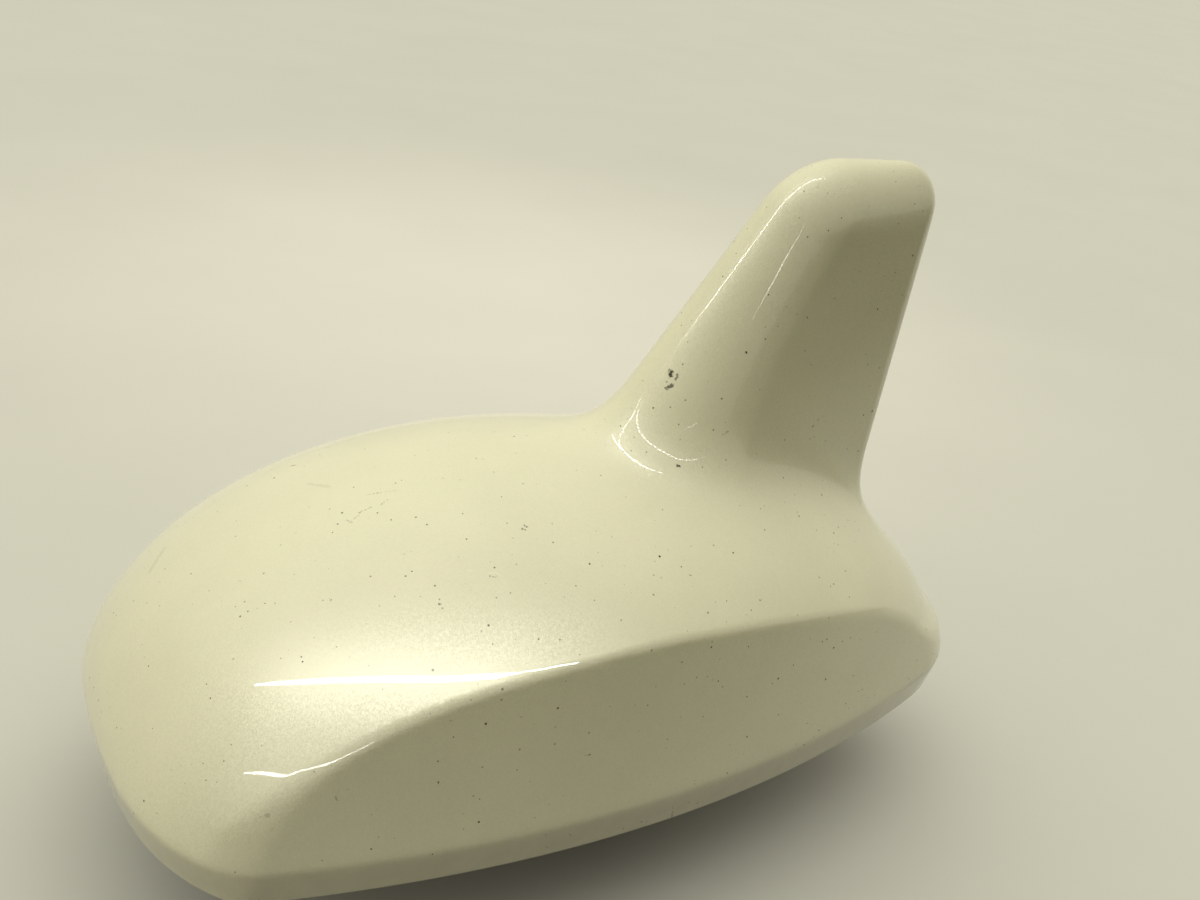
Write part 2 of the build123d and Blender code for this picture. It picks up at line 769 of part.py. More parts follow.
# Grounding springs between the base and the underside of the board
with BuildPart() as ground_springs:
    for y in (spring_y, -spring_y):
        with BuildSketch(Plane.XZ.offset(-y - spring_width / 2)):
            with BuildLine():
                Polyline(
                    (spring_x, base_top_z),
                    (spring_x + spring_length, base_top_z),
                    (spring_x + spring_length, base_top_z + spring_sheet),
                    (spring_x + spring_sheet, base_top_z + spring_sheet),
                    (spring_x + spring_sheet, board_low_z - spring_sheet),
                    (spring_x + spring_length - 1.0, board_low_z - spring_sheet),
                    (spring_x + spring_length - 1.0, board_low_z),
                    (spring_x, board_low_z),
                    close=True,
                )
            make_face()
        extrude(amount=spring_width)
ground_springs.part.label = "ground_springs"
export_step(ground_springs.part, "parts/ground_springs.step")
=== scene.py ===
"""Shark fin aerial: visible cover and stud, finish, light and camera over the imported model."""

import json
from math import atan, cos, pi, radians, sin, tan

import bpy
import numpy as np
from mathutils import Matrix, Quaternion, Vector


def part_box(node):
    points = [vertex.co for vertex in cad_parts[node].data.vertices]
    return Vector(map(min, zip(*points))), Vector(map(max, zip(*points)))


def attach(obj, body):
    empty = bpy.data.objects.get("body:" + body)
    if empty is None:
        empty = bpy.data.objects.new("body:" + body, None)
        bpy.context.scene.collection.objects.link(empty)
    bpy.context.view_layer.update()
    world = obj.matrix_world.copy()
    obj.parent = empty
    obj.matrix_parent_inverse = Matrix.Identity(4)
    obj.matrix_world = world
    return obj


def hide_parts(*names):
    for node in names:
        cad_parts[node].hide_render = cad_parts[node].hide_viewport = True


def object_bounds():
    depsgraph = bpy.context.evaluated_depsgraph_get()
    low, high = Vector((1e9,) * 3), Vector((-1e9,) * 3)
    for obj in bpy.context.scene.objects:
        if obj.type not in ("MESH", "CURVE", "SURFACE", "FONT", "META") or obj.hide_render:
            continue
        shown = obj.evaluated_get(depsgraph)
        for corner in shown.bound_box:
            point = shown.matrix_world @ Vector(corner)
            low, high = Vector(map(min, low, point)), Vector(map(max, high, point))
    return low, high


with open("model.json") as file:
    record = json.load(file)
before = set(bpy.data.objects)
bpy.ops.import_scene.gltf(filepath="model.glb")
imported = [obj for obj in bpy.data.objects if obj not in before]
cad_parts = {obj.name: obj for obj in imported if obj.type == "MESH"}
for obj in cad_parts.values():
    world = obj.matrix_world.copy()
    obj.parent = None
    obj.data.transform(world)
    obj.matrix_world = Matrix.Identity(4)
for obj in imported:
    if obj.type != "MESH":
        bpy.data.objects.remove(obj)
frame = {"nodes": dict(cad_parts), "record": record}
cad_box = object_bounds()
scene = bpy.context.scene
nodes = frame["nodes"]
MM = 0.001
SMALL = 1e-6
TINY = 1e-9

# Outer form of the cover in millimetres, fitted to the photo, so not quite as the solids have it
RIM_Z = 1.0
BELT_Z = 5.8
BELT_SOFT = 0.3
TUCK = 1.0
LIP = 0.35

# Dome: reach from the crown to the front, rear and side, drawn in toward the tail
DOME_Z = 1.2
CROWN_X = -10.4
CROWN_Z = 39.0
DOME_FRONT = 52.5
NOSE_POWER = 2.9
DOME_REAR = 74.0
DOME_DRAW = 3.0
DOME_DRAW_RUN = 9.0
DOME_SIDE = 39.0
SIDE_DRAW = 2.8
SIDE_DRAW_X = -12.0
SIDE_DRAW_RUN = 44.0

# Walls: an arc along each side and a round tail, which lean in; shares turn level distance into true
HALF_WIDTH = 32.0
WIDE_X = -19.0
TAIL_X = 62.5
TAIL_RADIUS = 19.5
TAIL_RADIUS_TOP = 17.0
SIDE_LEAN = tan(radians(8.0))
SIDE_SHARE = 0.99
TAIL_LEAN = tan(radians(21.0))
TAIL_SHARE = 0.95

# Crease between dome and walls: its radius, what the nose adds, and how fast that fades
CREASE = 0.45
CREASE_NOSE = 3.0
CREASE_NOSE_X = -58.0
CREASE_FADE = 6.0

# Fin: edges, half thickness at nose and tail, rounds of its outline, and blend at its foot
FIN_TOP = 76.3
FIN_LOW = CROWN_Z - 16.0
FIN_LEAD_X = 1.4
FIN_LEAD_Z = CROWN_Z + 3.7
FIN_SLOPE = 1.608
FIN_TRAIL_X = 43.4
FIN_TRAIL_Z = CROWN_Z - 6.0
FIN_TRAIL_LEAN = 0.037
FIN_NOSE = 13.0
FIN_NOSE_TOP = 5.6
FIN_TAIL = 3.7
FIN_STRETCH = 1.7
FRONT_ROUND = 13.0
REAR_ROUND = 6.5
CAP_RISE = 8.5
CAP_MARGIN = 0.05
FOOT_BLEND = 9.5


def ramp(value, start, run):
    """Rises evenly from 0 at the start to 1 at the end of the run."""
    return np.clip((value - start) / run, 0, 1)


def ease(value, start, run):
    """Ramp with soft ends."""
    t = ramp(value, start, run)
    return t * t * (3 - 2 * t)


def round_max(a, b, r):
    """Intersection of two forms with an edge rounded to a radius."""
    u = np.maximum(a + r, 0)
    v = np.maximum(b + r, 0)
    return np.minimum(np.maximum(a, b) + r, 0) + np.sqrt(u * u + v * v) - r


def dome(x, y, z):
    """Oval over the belt; ahead of the crown its outline is fuller than an ellipse."""
    u = x - CROWN_X
    rise = CROWN_Z - DOME_Z
    w = (z - DOME_Z) / rise
    reach = np.where(u < 0, DOME_FRONT, DOME_REAR - DOME_DRAW * ease(z, BELT_Z, DOME_DRAW_RUN))
    s = np.abs(u) / reach
    cut = np.minimum(s, 1 - SMALL)
    full = (1 - cut**2) / (1 - cut**NOSE_POWER) ** (2 / NOSE_POWER)
    ratio = np.where(s > 1, 0.0, np.where(u < 0, full, 1.0))
    side = DOME_SIDE - SIDE_DRAW * ease(x, SIDE_DRAW_X, SIDE_DRAW_RUN)
    q = np.sqrt(w * w + s * s + (y / side) ** 2 * ratio)
    g = np.sqrt((u / reach**2) ** 2 + (y * ratio / side**2) ** 2 + (w / rise) ** 2)
    return (q - 1) * q / np.maximum(g, SMALL)


def walls(x, y, z):
    """Leaning sides that meet a round tail without a corner."""
    rise = z - BELT_Z
    half = HALF_WIDTH - rise * SIDE_LEAN
    tail = TAIL_X - rise * TAIL_LEAN
    r = TAIL_RADIUS + (TAIL_RADIUS_TOP - TAIL_RADIUS) * rise / (CROWN_Z - BELT_Z)
    reach = tail - r - WIDE_X
    big = (reach**2 + half**2 - r**2) / (2 * (half - r))
    cy = half - big
    ay = np.abs(y)
    side = (np.hypot(x - WIDE_X, ay - cy) - big) * SIDE_SHARE
    end = (np.hypot(x - tail + r, ay) - r) * TAIL_SHARE
    return np.where((x - WIDE_X) * (-cy) - (ay - cy) * reach > 0, end, side)


def crease(x):
    """Radius of the crease: soft round the nose, crisp toward the tail."""
    return CREASE + CREASE_NOSE * np.exp(-np.maximum(x - CREASE_NOSE_X, 0) / CREASE_FADE)


def body(x, y, z):
    """Dome cut by the walls; below the belt the belt's section runs on, tucked in."""
    above = BELT_Z + BELT_SOFT * np.logaddexp(0, (z - BELT_Z) / BELT_SOFT)
    form = round_max(dome(x, y, above), walls(x, y, above), crease(x))
    return form + TUCK * (above - z) / (BELT_Z - RIM_Z)


def lead_at(z):
    return FIN_LEAD_X + (z - FIN_LEAD_Z) / FIN_SLOPE


def trail_at(z):
    return FIN_TRAIL_X + (z - FIN_TRAIL_Z) * FIN_TRAIL_LEAN


def fin(x, y, z):
    """Upright fin: an oval nose, sides that taper to the tail, and a domed upper edge."""
    angle = atan(FIN_SLOPE)
    zc = np.minimum(z, FIN_TOP - CAP_MARGIN)
    share = np.sqrt(1 - (np.maximum(zc - FIN_TOP + CAP_RISE, 0) / CAP_RISE) ** 2)
    part = (zc - FIN_LOW) / (FIN_TOP - FIN_LOW)
    nose = FIN_NOSE_TOP + (FIN_NOSE - FIN_NOSE_TOP) * np.clip(1 - part, 0, 1) ** 2
    front_x = lead_at(FIN_TOP) + FRONT_ROUND * tan(angle / 2)
    arc = front_x - np.sqrt(np.maximum(FRONT_ROUND**2 - (zc - FIN_TOP + FRONT_ROUND) ** 2, 0))
    lead = np.where(zc > FIN_TOP - FRONT_ROUND * (1 - cos(angle)), arc, lead_at(zc))
    drop = np.clip(zc - FIN_TOP + REAR_ROUND, 0, REAR_ROUND)
    trail = trail_at(zc) - REAR_ROUND + np.sqrt(REAR_ROUND**2 - drop**2)
    length = trail - lead - (FIN_STRETCH * nose + FIN_TAIL) * share
    px = x - lead - FIN_STRETCH * nose * share
    px = np.where(px < 0, px / FIN_STRETCH, px)
    py = np.abs(y)
    b = (nose - FIN_TAIL) * share / length
    a = np.sqrt(1 - b * b)
    foot = px - py * b / a
    before, behind = foot < 0, foot > length
    taper = (nose - FIN_TAIL) / length
    thick = np.where(before, nose, np.where(behind, FIN_TAIL, nose - taper * foot))
    beside = np.where(behind, np.hypot(px - length, py), py / a)
    reach = np.where(before, np.hypot(px, py), beside)
    over = np.maximum(z - FIN_TOP + CAP_RISE, 0) / CAP_RISE
    return np.sqrt(reach**2 + (thick * over) ** 2 + TINY) - thick


def cover_form(p):
    """Body and fin, blended at the fin's foot: negative inside, zero on the outer face."""
    x, y, z = p[..., 0], p[..., 1], p[..., 2]
    a, b = body(x, y, z), fin(x, y, z)
    near = np.maximum(1 - np.abs(a - b) / FOOT_BLEND, 0)
    return np.minimum(a, b) - near**3 * FOOT_BLEND / 6


# Mesh of the cover, in millimetres: box and step of its grid, and how it is evened out
GRID_LOW = (-66.0, -35.0)
GRID_HIGH = (66.0, 35.0, 78.5)
GRID_STEP = 0.72
SLOPE_STEP = 0.04
NORMAL_STEP = 0.08
EVEN_ROUNDS = 5
EVEN_SHARE = 0.5
LAND_ROUNDS = 4
LAND_SLOPE = 0.05
LAND_STEP = 0.5


def slope(p, e=SLOPE_STEP):
    """Gradient of the cover's form."""
    g = np.empty_like(p)
    for i in range(3):
        d = np.zeros(3)
        d[i] = e
        g[:, i] = (cover_form(p + d) - cover_form(p - d)) / (2 * e)
    return g


def unit(v):
    return v / np.maximum(np.linalg.norm(v, axis=1, keepdims=True), TINY)


def skin(step):
    """Quad mesh of the cover's outer face, open at the rim, from a grid of the given step."""
    low = np.array([*GRID_LOW, RIM_Z + LIP - step / 2])
    count = np.ceil((np.array(GRID_HIGH) - low) / step).astype(int) + 1
    axes = [low[i] + step * np.arange(count[i]) for i in range(3)]
    grid = np.stack(np.meshgrid(*axes, indexing="ij"), -1)
    value = cover_form(grid)
    cells = tuple(count - 1)

    # One point in each cell that the face runs through, at the mean of its crossings
    total = np.zeros(cells + (3,))
    hits = np.zeros(cells)
    crossings = []
    for axis in range(3):
        head = [slice(None)] * 3
        rest = [slice(None)] * 3
        head[axis] = slice(0, -1)
        rest[axis] = slice(1, None)
        a, b = value[tuple(head)], value[tuple(rest)]
        cross = (a < 0) != (b < 0)
        share = np.where(cross, a / np.where(cross, a - b, 1), 0)
        point = grid[tuple(head)].copy()
        point[..., axis] += share * step
        crossings.append((cross, a < 0))
        others = [i for i in range(3) if i != axis]
        for du in (0, 1):
            for dv in (0, 1):
                part = [slice(None)] * 3
                part[others[0]] = slice(du, count[others[0]] - 1 + du)
                part[others[1]] = slice(dv, count[others[1]] - 1 + dv)
                hit = cross[tuple(part)]
                total += np.where(hit[..., None], point[tuple(part)], 0)
                hits += hit
    used = hits > 0
    index = np.full(cells, -1)
    index[used] = np.arange(used.sum())
    points = total[used] / hits[used][:, None]

    # One quad round each grid edge that crosses the face, between the four cells beside it
    quads = []
    for axis in range(3):
        cross, first = crossings[axis]
        u, v = (axis + 1) % 3, (axis + 2) % 3
        at = np.argwhere(cross)
        at = at[(at[:, u] > 0) & (at[:, v] > 0) & (at[:, u] < cells[u]) & (at[:, v] < cells[v])]
        if axis == 2:
            at = at[at[:, 2] > 0]
        ring = []
        for du, dv in ((1, 1), (0, 1), (0, 0), (1, 0)):
            c = at.copy()
            c[:, u] -= du
            c[:, v] -= dv
            ring.append(index[c[:, 0], c[:, 1], c[:, 2]])
        ring = np.stack(ring, 1)
        out = first[tuple(at.T)]
        quads.append(np.where(out[:, None], ring, ring[:, ::-1]))
    quads = np.concatenate(quads)
    quads = quads[(quads >= 0).all(1)]
    keep = np.unique(quads)
    renumber = np.full(len(points), -1)
    renumber[keep] = np.arange(len(keep))
    return points[keep], renumber[quads]


def sides(quads):
    """Edges of all the quads, in the direction of their faces."""
    return np.concatenate([quads[:, [i, (i + 1) % 4]] for i in range(4)])


def border(quads):
    """Vertices round the open edge of a quad mesh, in order, one face's direction."""
    have = set(map(tuple, sides(quads)))
    follow = {a: b for a, b in have if (b, a) not in have}
    start = next(iter(follow))
    loop = [start]
    while follow[loop[-1]] != start:
        loop.append(follow[loop[-1]])
    return np.array(loop)


def settle(points, quads, loop, rounds):
    """Evens the mesh out along the surface, and sets it on the form again."""
    edges = np.unique(np.sort(sides(quads), 1), axis=0)
    fixed = np.zeros(len(points), bool)
    fixed[loop] = True
    for turn in range(rounds):
        if turn:
            near = np.zeros_like(points)
            number = np.zeros(len(points))
            for a, b in (edges.T, edges.T[::-1]):
                np.add.at(near, a, points[b])
                np.add.at(number, a, 1)
            move = near / number[:, None] - points
            n = unit(slope(points))
            move -= n * (move * n).sum(1, keepdims=True)
            ahead = np.roll(loop, -1)
            behind = np.roll(loop, 1)
            move[loop] = (points[ahead] + points[behind]) / 2 - points[loop]
            points = points + EVEN_SHARE * move
        points[fixed, 2] = RIM_Z + LIP
        for _ in range(LAND_ROUNDS):
            g = slope(points)
            g[fixed, 2] = 0
            size = np.maximum((g * g).sum(1), LAND_SLOPE)
            shift = -(cover_form(points) / size)[:, None] * g
            far = np.linalg.norm(shift, axis=1, keepdims=True)
            points = points + shift * np.minimum(1, LAND_STEP / np.maximum(far, TINY))
    return points


# Inside of the cover, in millimetres: walls, then screw bosses and the webs beside two of them
SKIRT_WALL = 1.6
SKIRT_GAIN = 0.6
LEDGE_Z = 5.9
LEDGE_RUN = 0.5
DOME_WALL = 2.5
FIN_CUT = 0.3
FIN_CUT_Z = 40.0
FIN_CUT_RUN = 6.0
TIP_CUT = 1.5
TIP_CUT_Z = 57.0
TIP_CUT_RUN = 10.0
LIP_TURNS = (30, 60, 90)
COVER_SCREWS = [(-54.01, 0.0), (53.0, 0.0), (-20.0, 23.5), (-20.0, -23.5)]
SEARCH_LOW = 6.0
SEARCH_HIGH = 60.0
SEARCH_ROUNDS = 40
SINK = 1.4
BOSS_SIDES = 32
BOSS_RADIUS = 3.25
BOSS_FOOT = 7.0
BOSS_CORE = 1.1
BOSS_CORE_TOP = 14.7
WEB_HALF = 0.8
WEB_FOOT = 8.0
WEB_START = 2.6
WEB_END = 7.6
WEB_ROWS = 7


def wall_at(p):
    """Thickness of the cover's wall: thin at the skirt, thicker above the ledge, thinner in the fin."""
    z = p[:, 2]
    skirt = SKIRT_WALL + SKIRT_GAIN * (z - RIM_Z) / (BELT_Z - RIM_Z)
    up = ramp(z, LEDGE_Z, LEDGE_RUN)
    cut = FIN_CUT * ramp(z, FIN_CUT_Z, FIN_CUT_RUN)
    tip = TIP_CUT * ramp(z, TIP_CUT_Z, TIP_CUT_RUN)
    return skirt * (1 - up) + (DOME_WALL - cut - tip) * up


def ring_quads(a, b):
    """Quads between two closed rings of vertices."""
    return np.stack([a, np.roll(a, -1), np.roll(b, -1), b], 1)


def height_at(x, y):
    """Height of the body's outer face over a point, without the fin."""
    low = np.full(np.shape(x), SEARCH_LOW)
    high = np.full(np.shape(x), SEARCH_HIGH)
    for _ in range(SEARCH_ROUNDS):
        mid = (low + high) / 2
        inside = body(x, y, mid) < 0
        low = np.where(inside, mid, low)
        high = np.where(inside, high, mid)
    return low


def boss(x, y):
    """Tube that takes a cover screw, from below its seat up into the dome."""
    n = BOSS_SIDES
    ring = np.arange(n)
    turn = ring * 2 * pi / n
    out, core = (
        np.stack([x + r * np.cos(turn), y + r * np.sin(turn)], 1) for r in (BOSS_RADIUS, BOSS_CORE)
    )
    rows = [
        (core, np.full(n, BOSS_CORE_TOP)),
        (core, np.full(n, BOSS_FOOT)),
        (out, np.full(n, BOSS_FOOT)),
        (out, height_at(out[:, 0], out[:, 1]) - SINK),
        (core, height_at(core[:, 0], core[:, 1]) - SINK),
    ]
    last = len(rows) - 1
    faces = []
    for i in range(last):
        faces += ring_quads(ring + n * i, ring + n * i + n)[:, ::-1].tolist()
    faces += [ring[::-1].tolist(), (ring + n * last).tolist()]
    return np.concatenate([np.column_stack(row) for row in rows]), faces


def web(x, y):
    """Plate that ties a side boss to the wall beside it."""
    side = 1 if y > 0 else -1
    half = HALF_WIDTH - SINK
    points = []
    for yy in np.linspace(y + side * WEB_START, y + side * WEB_END, WEB_ROWS):
        top = float(height_at(np.array([x]), np.array([yy]))[0]) - SINK
        if abs(yy) > half - (top - BELT_Z) * SIDE_LEAN:
            top = min(top, BELT_Z + (half - abs(yy)) / SIDE_LEAN)
        for dx, zz in ((-1, WEB_FOOT), (1, WEB_FOOT), (1, top), (-1, top)):
            points.append((x + dx * WEB_HALF, yy, zz))
    last = 4 * (WEB_ROWS - 1)
    faces = []
    for i in range(0, last, 4):
        for j in range(4):
            a, b = i + j, i + (j + 1) % 4
            faces.append([a, b, b + 4, a + 4])
    faces += [[3, 2, 1, 0], [last, last + 1, last + 2, last + 3]]
    return np.array(points), faces if side > 0 else [face[::-1] for face in faces]


def new_piece(name, points, faces, node, normals=None):
    """Mesh object that stands for a node, from points in millimetres."""
    mesh = bpy.data.meshes.new(name)
    mesh.from_pydata((points * MM).tolist(), [], [list(map(int, f)) for f in faces])
    mesh.polygons.foreach_set("use_smooth", [True] * len(mesh.polygons))
    mesh.validate()
    if normals is not None:
        mesh.normals_split_custom_set_from_vertices(normals.tolist())
    piece = bpy.data.objects.new(name, mesh)
    scene.collection.objects.link(piece)
    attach(piece, "root")
    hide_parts(node)
    return piece


def make_cover():
    """Shell of the cover: outer and inner face, rounded rim, bosses and webs."""
    outer, quads = skin(GRID_STEP)
    loop = border(quads)
    outer = settle(outer, quads, loop, EVEN_ROUNDS)
    normal = unit(slope(outer, NORMAL_STEP))
    count = len(outer)
    inner = outer - normal * wall_at(outer)[:, None]
    points = [outer, inner]
    normals = [normal, -normal]
    faces = quads.tolist() + (quads[:, ::-1] + count).tolist()

    # Rim: a rounded lip under the outer face, then flat to the inner face
    flat = normal[loop].copy()
    flat[:, 2] = 0
    flat = unit(flat)
    rim = []
    for angle in map(radians, LIP_TURNS):
        ring = outer[loop] - flat * (LIP * (1 - cos(angle)))
        ring[:, 2] = RIM_Z + LIP * (1 - sin(angle))
        turned = flat * cos(angle)
        turned[:, 2] = -sin(angle)
        rim.append((ring, turned))
    foot = inner[loop].copy()
    foot[:, 2] = RIM_Z
    rim.append((foot, np.tile([0.0, 0.0, -1.0], (len(loop), 1))))
    size = 2 * count
    rings = [loop]
    for ring, turned in rim:
        points.append(ring)
        normals.append(turned)
        rings.append(np.arange(len(loop)) + size)
        size += len(loop)
    rings.append(loop + count)
    for a, b in zip(rings, rings[1:]):
        faces += ring_quads(a, b)[:, ::-1].tolist()

    extras = [boss(x, y) for x, y in COVER_SCREWS] + [web(x, y) for x, y in COVER_SCREWS if y]
    for extra, shell in extras:
        points.append(extra)
        normals.append(unit(extra - extra.mean(0)))
        faces += [[i + size for i in f] for f in shell]
        size += len(extra)
    return new_piece(
        "cover_skin", np.concatenate(points), faces, "cover", np.concatenate(normals)
    )


# Roof stud in millimetres: thread, collar, flange with two flats, and bore
STUD_SIDES = 96
STUD_END = -16.0
STUD_RADIUS = 7.0
STUD_TIP_RADIUS = 6.0
THREAD_PITCH = 1.5
THREAD_STEPS = 12
THREAD_DEPTH = 0.85
THREAD_STOP = 0.41
THREAD_CREST = 0.12
THREAD_FLANK = 0.76
RUNOUT_Z = 0.2
RUNOUT = 0.9
COLLAR_RADIUS = 7.4
COLLAR_FOOT = 0.6
COLLAR_Z = 1.0
FLANGE_Z = 5.0
FLANGE_TOP = 6.8
FLANGE_RADIUS = 10.0
FLANGE_FLAT = 8.6
FLANGE_BREAK = 0.2
BORE_RADIUS = 4.75
BORE_BREAK = 0.3
BORE_ROWS = (0.0, -8.0)
SPLIT_ANGLE = 38


def make_stud():
    """Roof stud with its rolled thread, flange and bore."""
    around = STUD_SIDES
    turn = np.arange(around) * 2 * pi / around
    full = np.ones(around)
    rows = []
    for z in np.arange(STUD_END, THREAD_STOP, THREAD_PITCH / THREAD_STEPS):
        phase = np.abs(((z / THREAD_PITCH - turn / (2 * pi)) % 1.0) - 0.5) * 2
        groove = ramp(phase, THREAD_CREST, THREAD_FLANK)
        fade = ramp(RUNOUT_Z - z, 0, RUNOUT)
        tip = STUD_TIP_RADIUS + (z - STUD_END)
        rows.append((np.minimum(STUD_RADIUS - THREAD_DEPTH * groove * fade, tip), z))
    flange = np.minimum(FLANGE_RADIUS, FLANGE_FLAT / np.maximum(np.abs(np.sin(turn)), SMALL))
    rows += [
        (full * STUD_RADIUS, COLLAR_FOOT),
        (full * COLLAR_RADIUS, COLLAR_Z),
        (full * COLLAR_RADIUS, FLANGE_Z),
        (flange, FLANGE_Z),
        (flange, FLANGE_TOP - FLANGE_BREAK),
        (flange - FLANGE_BREAK, FLANGE_TOP),
        (full * BORE_RADIUS, FLANGE_TOP),
        *((full * BORE_RADIUS, z) for z in BORE_ROWS),
        (full * BORE_RADIUS, STUD_END + BORE_BREAK),
        (full * (BORE_RADIUS + BORE_BREAK), STUD_END),
    ]
    points = np.concatenate(
        [np.stack([r * np.cos(turn), r * np.sin(turn), full * z], 1) for r, z in rows]
    )
    faces = []
    for i in range(len(rows)):
        a = np.arange(around) + around * i
        b = np.arange(around) + around * ((i + 1) % len(rows))
        faces += ring_quads(a, b).tolist()
    piece = new_piece("stud_threaded", points, faces, "roof_stud")
    sharp = piece.modifiers.new("edges", "EDGE_SPLIT")
    sharp.split_angle = radians(SPLIT_ANGLE)
    return piece


# Range that noise keeps to in the main, and plain colours for sums with it
NOISE = (0.3, 0.7)
WHITE = (1.0, 1.0, 1.0)
GREY = (0.5, 0.5, 0.5)


class Finish:
    """Procedural material on a Principled shader, measured in millimetres of the part."""

    def __init__(self, name, colour, **values):
        self.material = bpy.data.materials.new(name)
        self.material.use_nodes = True
        self.tree = self.material.node_tree
        self.tree.nodes.clear()
        self.shader = self.tree.nodes.new("ShaderNodeBsdfPrincipled")
        out = self.tree.nodes.new("ShaderNodeOutputMaterial")
        self.tree.links.new(self.shader.outputs[0], out.inputs[0])
        self.shader.inputs["Base Color"].default_value = (*colour, 1)
        for key, value in values.items():
            self.shader.inputs[key.replace("_", " ")].default_value = value
        place = self.tree.nodes.new("ShaderNodeTexCoord")
        self.place = self.vector("SCALE", place.outputs["Object"], scale=1 / MM)

    def link(self, value, socket):
        """Puts a value, or what another node gives, into a socket."""
        if isinstance(value, bpy.types.NodeSocket):
            self.tree.links.new(value, socket)
        elif value is not None:
            socket.default_value = value

    def math(self, kind, a, b=None, clamp=False):
        node = self.tree.nodes.new("ShaderNodeMath")
        node.operation = kind
        node.use_clamp = clamp
        for value, socket in zip((a, b), node.inputs):
            self.link(value, socket)
        return node.outputs[0]

    def vector(self, kind, a, b=None, scale=None):
        node = self.tree.nodes.new("ShaderNodeVectorMath")
        node.operation = kind
        self.link(a, node.inputs[0])
        self.link(b, node.inputs[1])
        if scale is not None:
            self.link(scale, node.inputs["Scale"])
        return node.outputs["Value" if kind in ("LENGTH", "DOT_PRODUCT") else "Vector"]

    def noise(self, scale, detail=3.0, rough=0.55, at=None, colour=False):
        node = self.tree.nodes.new("ShaderNodeTexNoise")
        self.link(at or self.place, node.inputs["Vector"])
        node.inputs["Scale"].default_value = scale
        node.inputs["Detail"].default_value = detail
        node.inputs["Roughness"].default_value = rough
        return node.outputs["Color" if colour else "Fac"]

    def cells(self, scale):
        """Distance from the middle of the nearest cell, and that cell's own random colour."""
        node = self.tree.nodes.new("ShaderNodeTexVoronoi")
        self.link(self.place, node.inputs["Vector"])
        node.inputs["Scale"].default_value = scale
        return node.outputs["Distance"], node.outputs["Color"]

    def span(self, value, low, high, to_low=0.0, to_high=1.0, smooth=False):
        """Takes the range from low to high into another one, and stops at its ends."""
        node = self.tree.nodes.new("ShaderNodeMapRange")
        node.interpolation_type = "SMOOTHSTEP" if smooth else "LINEAR"
        node.clamp = True
        names = ("Value", "From Min", "From Max", "To Min", "To Max")
        for name, v in zip(names, (value, low, high, to_low, to_high)):
            self.link(v, node.inputs[name])
        return node.outputs[0]

    def mix(self, share, a, b, kind="MIX"):
        node = self.tree.nodes.new("ShaderNodeMix")
        node.data_type = "RGBA"
        node.blend_type = kind
        self.link(share, node.inputs[0])
        for value, socket in ((a, node.inputs[6]), (b, node.inputs[7])):
            self.link(value if isinstance(value, bpy.types.NodeSocket) else (*value, 1), socket)
        return node.outputs[2]

    def shade(self, colour, tone):
        """Colour times a tone."""
        return self.mix(1.0, colour, self.vector("SCALE", WHITE, scale=tone), "MULTIPLY")

    def jitter(self, colour, size):
        """Vector to either side of zero, from a random colour."""
        return self.vector("SCALE", self.vector("SUBTRACT", colour, GREY), scale=size)

    def split(self, colour):
        node = self.tree.nodes.new("ShaderNodeSeparateColor")
        self.link(colour, node.inputs[0])
        return node.outputs

    def axis(self, which, at=None):
        node = self.tree.nodes.new("ShaderNodeSeparateXYZ")
        self.link(at or self.place, node.inputs[0])
        return node.outputs[which]

    def bump(self, height, depth, strength=0.5, after=None):
        node = self.tree.nodes.new("ShaderNodeBump")
        node.inputs["Strength"].default_value = strength
        node.inputs["Distance"].default_value = depth * MM
        self.link(height, node.inputs["Height"])
        self.link(after, node.inputs["Normal"])
        return node.outputs[0]

    def set(self, name, value):
        self.link(value, self.shader.inputs[name])


PAINT = (0.775, 0.738, 0.480)
DIRT = (0.035, 0.030, 0.014)

